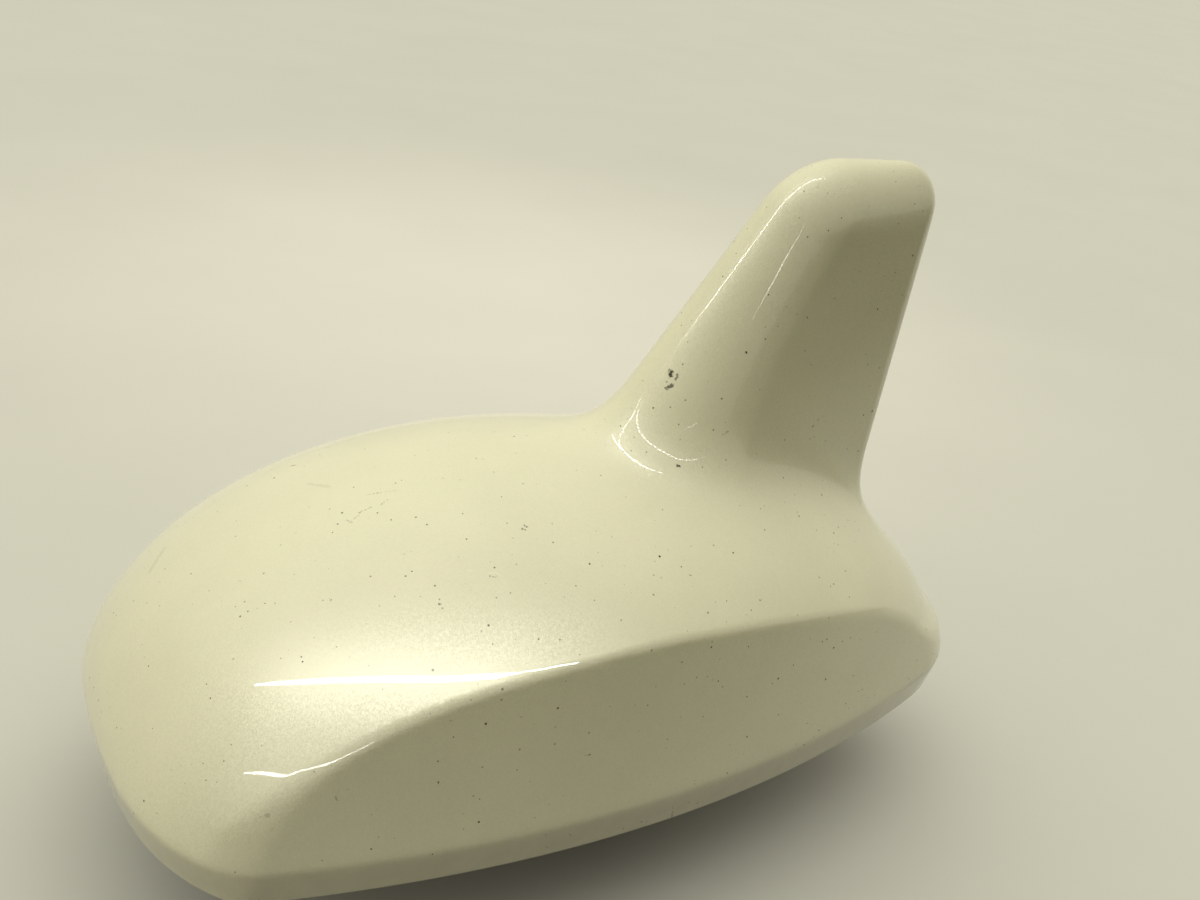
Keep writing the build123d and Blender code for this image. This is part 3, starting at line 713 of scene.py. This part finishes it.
# Chips, dots and scuffs on the paint: two ends in millimetres, half width, darkness
MARKS = [
    ((6.56, -3.03, 49.25), (6.45, -3.24, 48.83), 0.42, 0.95),
    ((6.92, -3.89, 48.64), (7.19, -3.77, 49.24), 0.24, 0.70),
    ((6.13, -3.82, 47.56), (6.41, -3.93, 47.82), 0.32, 0.80),
    ((5.82, -3.57, 47.44), (5.93, -3.88, 47.17), 0.20, 0.70),
    ((14.94, -6.45, 52.88), (14.94, -6.45, 52.88), 0.25, 0.95),
    ((6.01, -9.04, 39.00), (6.25, -9.12, 38.96), 0.25, 0.90),
    ((12.54, -8.38, 42.64), (13.24, -8.38, 42.96), 0.16, 0.45),
    ((28.74, -6.16, 41.52), (28.74, -6.16, 41.52), 0.20, 0.70),
    ((-17.79, -14.71, 35.85), (-17.39, -14.87, 35.83), 0.15, 0.90),
    ((-17.11, -14.58, 35.97), (-17.31, -14.33, 36.05), 0.17, 0.85),
    ((-23.45, -19.23, 32.99), (-22.70, -19.54, 32.95), 0.13, 0.60),
    ((-36.63, 12.67, 31.98), (-36.25, 12.33, 32.24), 0.17, 0.70),
    ((-31.62, -5.25, 35.44), (-30.60, -4.90, 35.80), 0.09, 0.55),
    ((-35.09, -5.82, 34.15), (-34.21, -5.54, 34.52), 0.11, 0.40),
    ((-32.06, -30.27, 14.60), (-32.06, -30.27, 14.60), 0.17, 0.85),
    ((-14.19, -30.70, 14.56), (-14.19, -30.70, 14.56), 0.16, 0.85),
    ((-6.35, -28.60, 26.30), (-6.35, -28.60, 26.30), 0.15, 0.80),
    ((-17.65, -26.79, 28.38), (-17.65, -26.79, 28.38), 0.16, 0.80),
    ((-40.25, -14.74, 29.60), (-40.25, -14.74, 29.60), 0.15, 0.75),
    ((-24.57, 2.45, 37.53), (-24.57, 2.45, 37.53), 0.15, 0.75),
    ((-24.53, 9.29, 36.54), (-24.53, 9.29, 36.54), 0.15, 0.75),
    ((6.88, -7.36, 41.76), (6.88, -7.36, 41.76), 0.17, 0.45),
    ((1.63, -22.15, 31.39), (1.63, -22.15, 31.39), 0.16, 0.80),
    ((11.37, -24.17, 27.66), (11.37, -24.17, 27.66), 0.16, 0.80),
    ((-0.22, -30.58, 3.73), (0.22, -30.29, 2.58), 0.07, 0.75),
    ((0.22, -30.29, 2.58), (0.52, -30.06, 1.64), 0.10, 0.90),
    ((0.52, -30.06, 1.64), (1.00, -29.78, 0.60), 0.14, 0.95),
    ((-32.40, -2.59, 35.44), (-29.06, -3.75, 36.36), 0.08, 0.45),
    ((-34.17, -5.11, 34.59), (-32.51, -5.07, 35.18), 0.10, 0.50),
    ((-35.66, -5.39, 33.99), (-35.19, -6.12, 34.07), 0.12, 0.35),
    ((-52.10, 12.05, 22.29), (-54.21, 9.77, 20.78), 0.50, 0.14),
    ((-47.60, -5.44, 27.52), (-47.60, -5.44, 27.52), 0.14, 0.70),
    ((-29.70, -20.37, 30.95), (-29.70, -20.37, 30.95), 0.16, 0.80),
    ((-36.97, 4.83, 33.52), (-35.24, 1.90, 34.46), 0.30, 0.12),
    ((-60.73, -7.30, 11.08), (-60.73, -7.30, 11.08), 0.14, 0.70),
    ((-49.91, -27.81, 12.75), (-49.91, -27.81, 12.75), 0.35, 0.30),
    ((-43.11, -29.09, 14.46), (-43.00, -29.16, 14.09), 0.20, 0.35),
    ((-13.90, -30.70, 14.49), (-13.53, -30.69, 14.54), 0.14, 0.80),
    ((-31.00, -29.30, 21.92), (-31.00, -29.30, 21.92), 0.14, 0.75),
]


# Colour of the painted shade on the band, and the band's upper edge above and below the belt in
# millimetres
PAINTED_BAND_SHADE = (0.30, 0.24, 0.12)
PAINTED_BAND_SHADE_EDGE = (0.4, -0.6)

# Flake, specks and ragged marks: cells per millimetre, tilt of the flake, and push in millimetres
FLAKE_CELLS = 8.0
FLAKE_TILT = 0.11
SPECK_CELLS = 1.15
SPECK_RARITY = 2.6
SPECK_EDGE = 0.06
MARK_PUSH = 0.9
MARK_CORE = 0.45
MARK_GLOSS = 0.1


def pearl_paint():
    """Cream pearl under clear gloss: clouds, flake, painted shade on the band, specks and the marks."""
    f = Finish(
        "pearl_paint", PAINT, Metallic=0.06, Roughness=0.40, IOR=1.5,
        Coat_Weight=1.0, Coat_Roughness=0.025, Coat_IOR=1.5,
    )
    cloud = f.span(f.noise(0.06, detail=4.0), *NOISE, 0.955, 1.015)
    _, flake = f.cells(FLAKE_CELLS)
    glint = f.span(f.split(flake)[2], 0.0, 1.0, -0.03, 0.03)
    paint = f.shade(PAINT, f.math("ADD", cloud, glint))
    # Painted shade: the band below the belt is darkened unevenly toward a brown colour
    above, below = PAINTED_BAND_SHADE_EDGE
    band = f.span(f.axis(2), BELT_Z + above, BELT_Z + below, smooth=True)
    painted_band_shade = f.span(f.noise(0.4, detail=4.0), *NOISE, 0.12, 0.24)
    paint = f.mix(f.math("MULTIPLY", band, painted_band_shade), paint, PAINTED_BAND_SHADE)

    away, colour = f.cells(SPECK_CELLS)
    luck = f.split(colour)
    largest = f.span(f.noise(0.06, detail=2.0), 0.35, 0.65, 0.14, 0.22)
    size = f.math("MULTIPLY", f.math("POWER", luck[0], SPECK_RARITY), largest)
    speck = f.span(f.math("SUBTRACT", size, away), 0.0, SPECK_EDGE)
    mask = f.math("MULTIPLY", speck, f.span(luck[1], 0.0, 1.0, 0.45, 1.0))

    push = f.jitter(f.noise(2.2, rough=0.7, colour=True), MARK_PUSH)
    ragged = f.vector("ADD", f.place, push)
    for a, b, half, dark in MARKS:
        run = Vector(b) - Vector(a)
        away = f.vector("SUBTRACT", ragged, a)
        if a != b:
            along = f.vector("DOT_PRODUCT", away, tuple(run))
            part = f.math("MULTIPLY", along, 1 / run.length_squared, clamp=True)
            away = f.vector("SUBTRACT", away, f.vector("SCALE", tuple(run), scale=part))
        near = f.span(f.vector("LENGTH", away), half, half * MARK_CORE, 0.0, dark, smooth=True)
        mask = f.math("MAXIMUM", mask, near)
    f.set("Base Color", f.mix(mask, paint, DIRT))
    for name in ("Coat Weight", "Specular IOR Level"):
        f.set(name, f.span(mask, 0.0, 1.0, 1.0, MARK_GLOSS))

    shape = f.tree.nodes.new("ShaderNodeNewGeometry")
    tilted = f.vector("ADD", shape.outputs["Normal"], f.jitter(flake, FLAKE_TILT))
    f.set("Normal", f.vector("NORMALIZE", tilted))
    return f.material


def rubber(name, colour):
    """Matt rubber with a fine grain and some dust."""
    f = Finish(name, colour, Roughness=0.62, IOR=1.5)
    dust = f.span(f.noise(0.25, detail=5.0, rough=0.65), 0.42, 0.72)
    pale = tuple(c * 2.4 + 0.02 for c in colour)
    f.set("Base Color", f.mix(f.math("MULTIPLY", dust, 0.45), colour, pale))
    f.set("Roughness", f.span(dust, 0.0, 1.0, 0.52, 0.8))
    f.set("Normal", f.bump(f.noise(3.0, detail=4.0, rough=0.6), depth=0.08, strength=0.35))
    return f.material


def metal(name, colour, rough, grain, depth, stretch=(1.0, 1.0, 1.0)):
    """Metal with a fine grain, drawn out along an axis for sheet, and faint stains."""
    f = Finish(name, colour, Metallic=1.0, Roughness=rough)
    fine = f.noise(grain, detail=4.0, rough=0.6, at=f.vector("MULTIPLY", f.place, stretch))
    stain = f.span(f.noise(0.18, detail=4.0, rough=0.6), 0.4, 0.75)
    dull = tuple(c * 0.62 for c in colour)
    f.set("Base Color", f.mix(f.math("MULTIPLY", stain, 0.5), colour, dull))
    worn = f.span(fine, *NOISE, rough - 0.07, rough + 0.1)
    f.set("Roughness", f.math("ADD", worn, f.math("MULTIPLY", stain, 0.12)))
    f.set("Normal", f.bump(fine, depth, strength=0.4))
    return f.material


def cast_metal():
    """Cast zinc: grain, pits and cloudy flow marks."""
    f = Finish("cast_zinc", (0.50, 0.50, 0.51), Metallic=1.0, Roughness=0.5)
    grain = f.noise(2.6, detail=5.0, rough=0.7)
    away, _ = f.cells(1.1)
    pits = f.span(away, 0.05, 0.2)
    flow = f.span(f.noise(0.12), *NOISE)
    f.set("Base Color", f.mix(flow, (0.42, 0.42, 0.43), (0.58, 0.58, 0.58)))
    f.set("Roughness", f.span(grain, *NOISE, 0.42, 0.62))
    rough = f.bump(grain, depth=0.1, strength=0.45)
    f.set("Normal", f.bump(pits, depth=0.06, strength=0.3, after=rough))
    return f.material


def laminate():
    """Green circuit board: weave, faint tracks under the resist, and plated dots."""
    f = Finish(
        "board_laminate", (0.03, 0.16, 0.07), Roughness=0.35, IOR=1.5,
        Coat_Weight=0.3, Coat_Roughness=0.15,
    )
    track = f.tree.nodes.new("ShaderNodeTexBrick")
    f.link(f.place, track.inputs["Vector"])
    for key, value in {
        "Scale": 0.28, "Mortar Size": 0.035, "Mortar Smooth": 0.2, "Brick Width": 0.9, "Row Height": 0.35,
    }.items():
        track.inputs[key].default_value = value
    copper = f.math("SUBTRACT", 1.0, track.outputs["Fac"], clamp=True)
    weave = f.span(f.noise(6.0, detail=2.0), *NOISE)
    tone = f.mix(weave, (0.022, 0.13, 0.055), (0.035, 0.18, 0.08))
    tone = f.mix(f.math("MULTIPLY", copper, 0.35), tone, (0.06, 0.26, 0.11))
    away, _ = f.cells(0.28)
    dot = f.span(away, 0.14, 0.12)
    f.set("Base Color", f.mix(dot, tone, (0.72, 0.52, 0.22)))
    f.set("Metallic", dot)
    f.set("Normal", f.bump(copper, depth=0.04, strength=0.4))
    return f.material


def ceramic():
    """Unglazed ceramic with a silvered square on its upper face."""
    f = Finish("patch_ceramic", (0.62, 0.52, 0.38), Roughness=0.5)
    grain = f.noise(5.0, detail=4.0, rough=0.65)
    share = f.span(grain, *NOISE)
    clay = f.mix(share, (0.55, 0.45, 0.32), (0.66, 0.57, 0.43))
    silver = f.mix(share, (0.72, 0.71, 0.68), (0.85, 0.84, 0.81))
    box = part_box("patch_element")
    away = f.vector("SUBTRACT", f.place, tuple((box[0] + box[1]) / 2 / MM))
    away = f.vector("ABSOLUTE", away)
    square = f.span(f.math("MAXIMUM", f.axis(0, away), f.axis(1, away)), 10.6, 10.4)
    upper = f.span(f.axis(2), box[1].z / MM - 0.1, box[1].z / MM - 0.05)
    top = f.math("MULTIPLY", square, upper)
    f.set("Base Color", f.mix(top, clay, silver))
    f.set("Metallic", top)
    rough = f.span(grain, *NOISE, 0.42, 0.62)
    f.set("Roughness", f.math("SUBTRACT", rough, f.math("MULTIPLY", top, 0.12)))
    f.set("Normal", f.bump(grain, depth=0.05, strength=0.3))
    return f.material


def film():
    """Blotchy adhesive film."""
    f = Finish("adhesive_pad", (0.72, 0.68, 0.55), Roughness=0.6)
    blot = f.span(f.noise(0.9, detail=4.0), *NOISE)
    f.set("Base Color", f.mix(blot, (0.64, 0.60, 0.47), (0.76, 0.73, 0.60)))
    f.set("Normal", f.bump(f.noise(4.0, detail=2.0), depth=0.05, strength=0.3))
    return f.material


def epoxy():
    """Black moulded plastic with a fine grit."""
    f = Finish("chip_plastic", (0.02, 0.02, 0.021), Roughness=0.5, IOR=1.5)
    grit = f.noise(9.0, rough=0.6)
    f.set("Base Color", f.mix(f.span(grit, *NOISE), (0.016, 0.016, 0.017), (0.03, 0.03, 0.031)))
    f.set("Roughness", f.span(grit, *NOISE, 0.42, 0.6))
    f.set("Normal", f.bump(grit, depth=0.03, strength=0.4))
    return f.material


def open_foam():
    """Dark foam with open pores, painted darker in the pores as shade."""
    f = Finish("foam", (0.06, 0.06, 0.062), Roughness=0.9)
    pores, _ = f.cells(2.4)
    # Painted shade: the colour is darkest in the middle of each pore
    f.set("Base Color", f.mix(f.span(pores, 0.1, 0.5), (0.02, 0.02, 0.021), (0.09, 0.09, 0.092)))
    f.set("Normal", f.bump(pores, depth=0.25, strength=0.8))
    return f.material


cover = make_cover()
stud = make_stud()

finishes = {
    "pearl_paint": pearl_paint(),
    "gasket_rubber": rubber("gasket_rubber", (0.020, 0.020, 0.021)),
    "cast_zinc": cast_metal(),
    "seal_rubber": rubber("seal_rubber", (0.016, 0.016, 0.017)),
    "plated_steel": metal("plated_steel", (0.60, 0.60, 0.57), rough=0.32, grain=1.6, depth=0.02),
    "gland_rubber": rubber("gland_rubber", (0.026, 0.026, 0.027)),
    "screw_steel": metal("screw_steel", (0.56, 0.56, 0.55), rough=0.30, grain=2.2, depth=0.02),
    "board_laminate": laminate(),
    "adhesive_pad": film(),
    "patch_ceramic": ceramic(),
    "pin_brass": metal("pin_brass", (0.76, 0.56, 0.24), rough=0.24, grain=2.5, depth=0.01),
    "chip_plastic": epoxy(),
    "tinned_sheet": metal(
        "tinned_sheet", (0.70, 0.70, 0.68), rough=0.28, grain=1.2, depth=0.02, stretch=(0.3, 3.0, 3.0)
    ),
    "clip_brass": metal(
        "clip_brass", (0.78, 0.58, 0.28), rough=0.28, grain=2.0, depth=0.015, stretch=(4.0, 0.4, 0.4)
    ),
    "foam": open_foam(),
}

for row in frame["record"]["subparts"]:
    mesh = nodes[row["node"]].data
    mesh.materials.clear()
    mesh.materials.append(finishes[row["material_slot"]])
cover.data.materials.append(finishes["pearl_paint"])
stud.data.materials.append(finishes["plated_steel"])


# Floor: half its size and its gap under the part in metres, then colours and distances in millimetres
FLOOR_REACH = 6.0
FLOOR_GAP = 0.0004
FLOOR = (0.68, 0.65, 0.52)
# Painted pool of light on the floor: its middle, where its fade starts and ends, and its light and dark
# colours
PAINTED_POOL_AT = (80.0, 200.0, 0.0)
PAINTED_POOL_EDGE = (10.0, 210.0)
PAINTED_POOL_LIGHT = (0.655, 0.622, 0.517)
PAINTED_POOL_DARK = (0.54, 0.522, 0.433)
# Painted dark reflection: where the floor's front fades out, and the dark colour that the gloss shows
# there
FRONT_DARK_EDGE = (-140.0, -50.0)
FRONT_PAINTED_DARK = (0.13, 0.12, 0.06)
BOUNCE = (0.05, 0.045, 0.025)


def make_floor():
    """Pale floor under the stud, with a painted pool of light on it. Less of it is thrown back at the
    part, and its front shows darker in the gloss, as a painted dark reflection.
    """
    mesh = bpy.data.meshes.new("floor")
    level = cad_box[0].z - FLOOR_GAP
    corners = ((-1, -1), (1, -1), (1, 1), (-1, 1))
    mesh.from_pydata(
        [(x * FLOOR_REACH, y * FLOOR_REACH, level) for x, y in corners], [], [(0, 1, 2, 3)]
    )
    floor = bpy.data.objects.new("floor", mesh)
    scene.collection.objects.link(floor)
    f = Finish("floor", FLOOR, Roughness=0.9)
    f.set("Specular IOR Level", 0.0)
    path = f.tree.nodes.new("ShaderNodeLightPath")
    seen = f.math("MAXIMUM", path.outputs["Is Camera Ray"], path.outputs["Is Transmission Ray"])
    # Painted pool of light: the floor is paler near its middle and darker away from it
    painted_pool_reach = f.vector("LENGTH", f.vector("SUBTRACT", f.place, PAINTED_POOL_AT))
    pale = f.mix(f.span(painted_pool_reach, *PAINTED_POOL_EDGE, smooth=True), PAINTED_POOL_LIGHT, PAINTED_POOL_DARK)
    pale = f.shade(pale, f.span(f.noise(0.02, detail=4.0), *NOISE, 0.985, 1.015))
    # Painted dark reflection: in the gloss the floor fades to a dark colour toward the front
    gloss_with_painted_dark = f.mix(f.span(f.axis(1), *FRONT_DARK_EDGE, smooth=True), FRONT_PAINTED_DARK, pale)
    unseen = f.mix(path.outputs["Is Glossy Ray"], BOUNCE, gloss_with_painted_dark)
    f.set("Base Color", f.mix(seen, unseen, pale))
    mesh.materials.append(f.material)


# World: least light, what is seen of it, and lobes by direction, start and end of the cosine, colour
SKY_LEAST = (0.045, 0.030, 0.0)
SKY_SEEN = (0.62, 0.60, 0.47, 1)
SKY_LOBES = [
    ((-0.14, 0.97, 0.19), -0.52, -0.17, (0.95, 0.95, 0.85)),
    ((-0.13, -0.04, 0.99), 0.40, 0.90, (0.670, 0.700, 0.780)),
]


def make_world():
    """Soft light: a wide lobe from behind and a narrower one from above; it shows as a plain colour."""
    world = bpy.data.worlds.new("studio")
    scene.world = world
    world.use_nodes = True
    tree = world.node_tree
    tree.nodes.clear()
    out = tree.nodes.new("ShaderNodeOutputWorld")
    light = tree.nodes.new("ShaderNodeBackground")
    place = tree.nodes.new("ShaderNodeTexCoord")
    glow = None
    for toward, low, high, colour in SKY_LOBES:
        facing = tree.nodes.new("ShaderNodeVectorMath")
        facing.operation = "DOT_PRODUCT"
        facing.inputs[1].default_value = Vector(toward).normalized()
        tree.links.new(place.outputs["Generated"], facing.inputs[0])
        share = tree.nodes.new("ShaderNodeMapRange")
        share.interpolation_type = "SMOOTHSTEP"
        share.inputs["From Min"].default_value = low
        share.inputs["From Max"].default_value = high
        tree.links.new(facing.outputs["Value"], share.inputs["Value"])
        lobe = tree.nodes.new("ShaderNodeVectorMath")
        lobe.operation = "MULTIPLY_ADD"
        lobe.inputs[1].default_value = colour
        lobe.inputs[2].default_value = SKY_LEAST
        tree.links.new(share.outputs[0], lobe.inputs[0])
        if glow:
            tree.links.new(glow, lobe.inputs[2])
        glow = lobe.outputs[0]
    path = tree.nodes.new("ShaderNodeLightPath")
    seen = path.outputs["Is Camera Ray"]
    for kind in ("Is Glossy Ray", "Is Transmission Ray"):
        either = tree.nodes.new("ShaderNodeMath")
        either.operation = "MAXIMUM"
        tree.links.new(seen, either.inputs[0])
        tree.links.new(path.outputs[kind], either.inputs[1])
        seen = either.outputs[0]
    shown = tree.nodes.new("ShaderNodeMix")
    shown.data_type = "RGBA"
    tree.links.new(seen, shown.inputs[0])
    tree.links.new(glow, shown.inputs[6])
    shown.inputs[7].default_value = SKY_SEEN
    tree.links.new(shown.outputs[2], light.inputs["Color"])
    tree.links.new(light.outputs[0], out.inputs[0])


# Tube lights in millimetres: name, width, glow, aim, spread in degrees, points as the gloss mirrors them
TUBE_PARTS = 3
TUBE_COLOUR = (1.0, 0.98, 0.92)
TUBES = [
    ("high_tube", 14.0, 0.54, (-36, -26, 23), 13.5, [
        (-392, 41, 307), (-329, -54, 372), (-241, -146, 408), (-146, -221, 416),
        (-52, -277, 399), (36, -307, 374), (99, -330, 340), (168, -402, 198),
    ]),
    ("low_tube", 12.0, 0.16, (-45, -27, 18), 16.0, [
        (-456, -124, 187), (-414, -198, 217), (-342, -302, 217),
        (-201, -442, 97), (-119, -470, 60), (-86, -475, 46),
    ]),
    ("side_tube", 2.4, 0.07, (18, -5, 63), 16.0, [
        (-40, -271, 192), (-34, -287, 149), (-16, -295, 128), (-3, -300, 110),
    ]),
    ("fin_tube", 8.0, 0.18, (15, -2, 60), 14.0, [
        (50, -46, 370), (-29, 10, 369), (-123, 18, 335),
        (-205, 10, 265), (-228, 25, 236), (-243, 53, 208),
    ]),
    ("foot_tube", 12.0, 0.022, (1, -6, 40), 6.0, [
        (-88, 80, 316), (-45, 28, 335), (22, -15, 339), (78, -40, 327), (113, -75, 310),
    ]),
]


def smooth_line(points, parts):
    """Points along a curve that runs through the given points."""
    p = [Vector(q) for q in points]
    p = [p[0] * 2 - p[1], *p, p[-1] * 2 - p[-2]]
    line = []
    for a, b, c, d in zip(p, p[1:], p[2:], p[3:]):
        for i in range(parts):
            t = i / parts
            line.append(
                b
                + (c - a) * (t / 2)
                + (a * 2 - b * 5 + c * 4 - d) * (t * t / 2)
                + (b * 3 - a - c * 3 + d) * (t**3 / 2)
            )
    return [q * MM for q in [*line, p[-2]]]


def tube(name, width, glow, aim, spread, points):
    """Chain of narrow lamps along the points, thinner at its ends, turned to face the aim."""
    ends = smooth_line(points, TUBE_PARTS)
    for i, (a, b) in enumerate(zip(ends, ends[1:])):
        taper = sin(pi * (i + 0.5) / (len(ends) - 1)) ** 0.5
        middle = (a + b) / 2
        back = (middle - Vector(aim) * MM).normalized()
        along = (b - a) - back * back.dot(b - a)
        lamp = bpy.data.lights.new(f"{name}_{i}", "AREA")
        lamp.shape = "RECTANGLE"
        lamp.size = along.length
        lamp.size_y = width * taper * MM
        lamp.energy = glow * pi * lamp.size * lamp.size_y
        lamp.color = TUBE_COLOUR
        lamp.spread = radians(spread)
        obj = bpy.data.objects.new(lamp.name, lamp)
        along.normalize()
        columns = (along, back.cross(along), back, middle)
        obj.matrix_world = Matrix((*zip(*columns), (0, 0, 0, 1)))
        obj.visible_camera = False
        obj.visible_diffuse = False
        scene.collection.objects.link(obj)


# Camera, fitted to the cover's outline in the photo
LENS = 42.0
SENSOR = 36.0
CLIP_START = 0.005
CAMERA_AT = (-86.62684, -139.48957, 112.93380)
CAMERA_TURN = (0.8263168356, 0.5044125339, -0.1908967057, -0.1622557566)


def make_camera():
    lens = bpy.data.cameras.new("camera")
    lens.lens = LENS
    lens.sensor_width = SENSOR
    lens.clip_start = CLIP_START
    camera = bpy.data.objects.new("camera", lens)
    camera.location = Vector(CAMERA_AT) * MM
    camera.rotation_mode = "QUATERNION"
    camera.rotation_quaternion = Quaternion(CAMERA_TURN)
    scene.collection.objects.link(camera)
    scene.camera = camera


make_floor()
make_world()
for row in TUBES:
    tube(*row)
make_camera()

scene.view_settings.view_transform = "Standard"
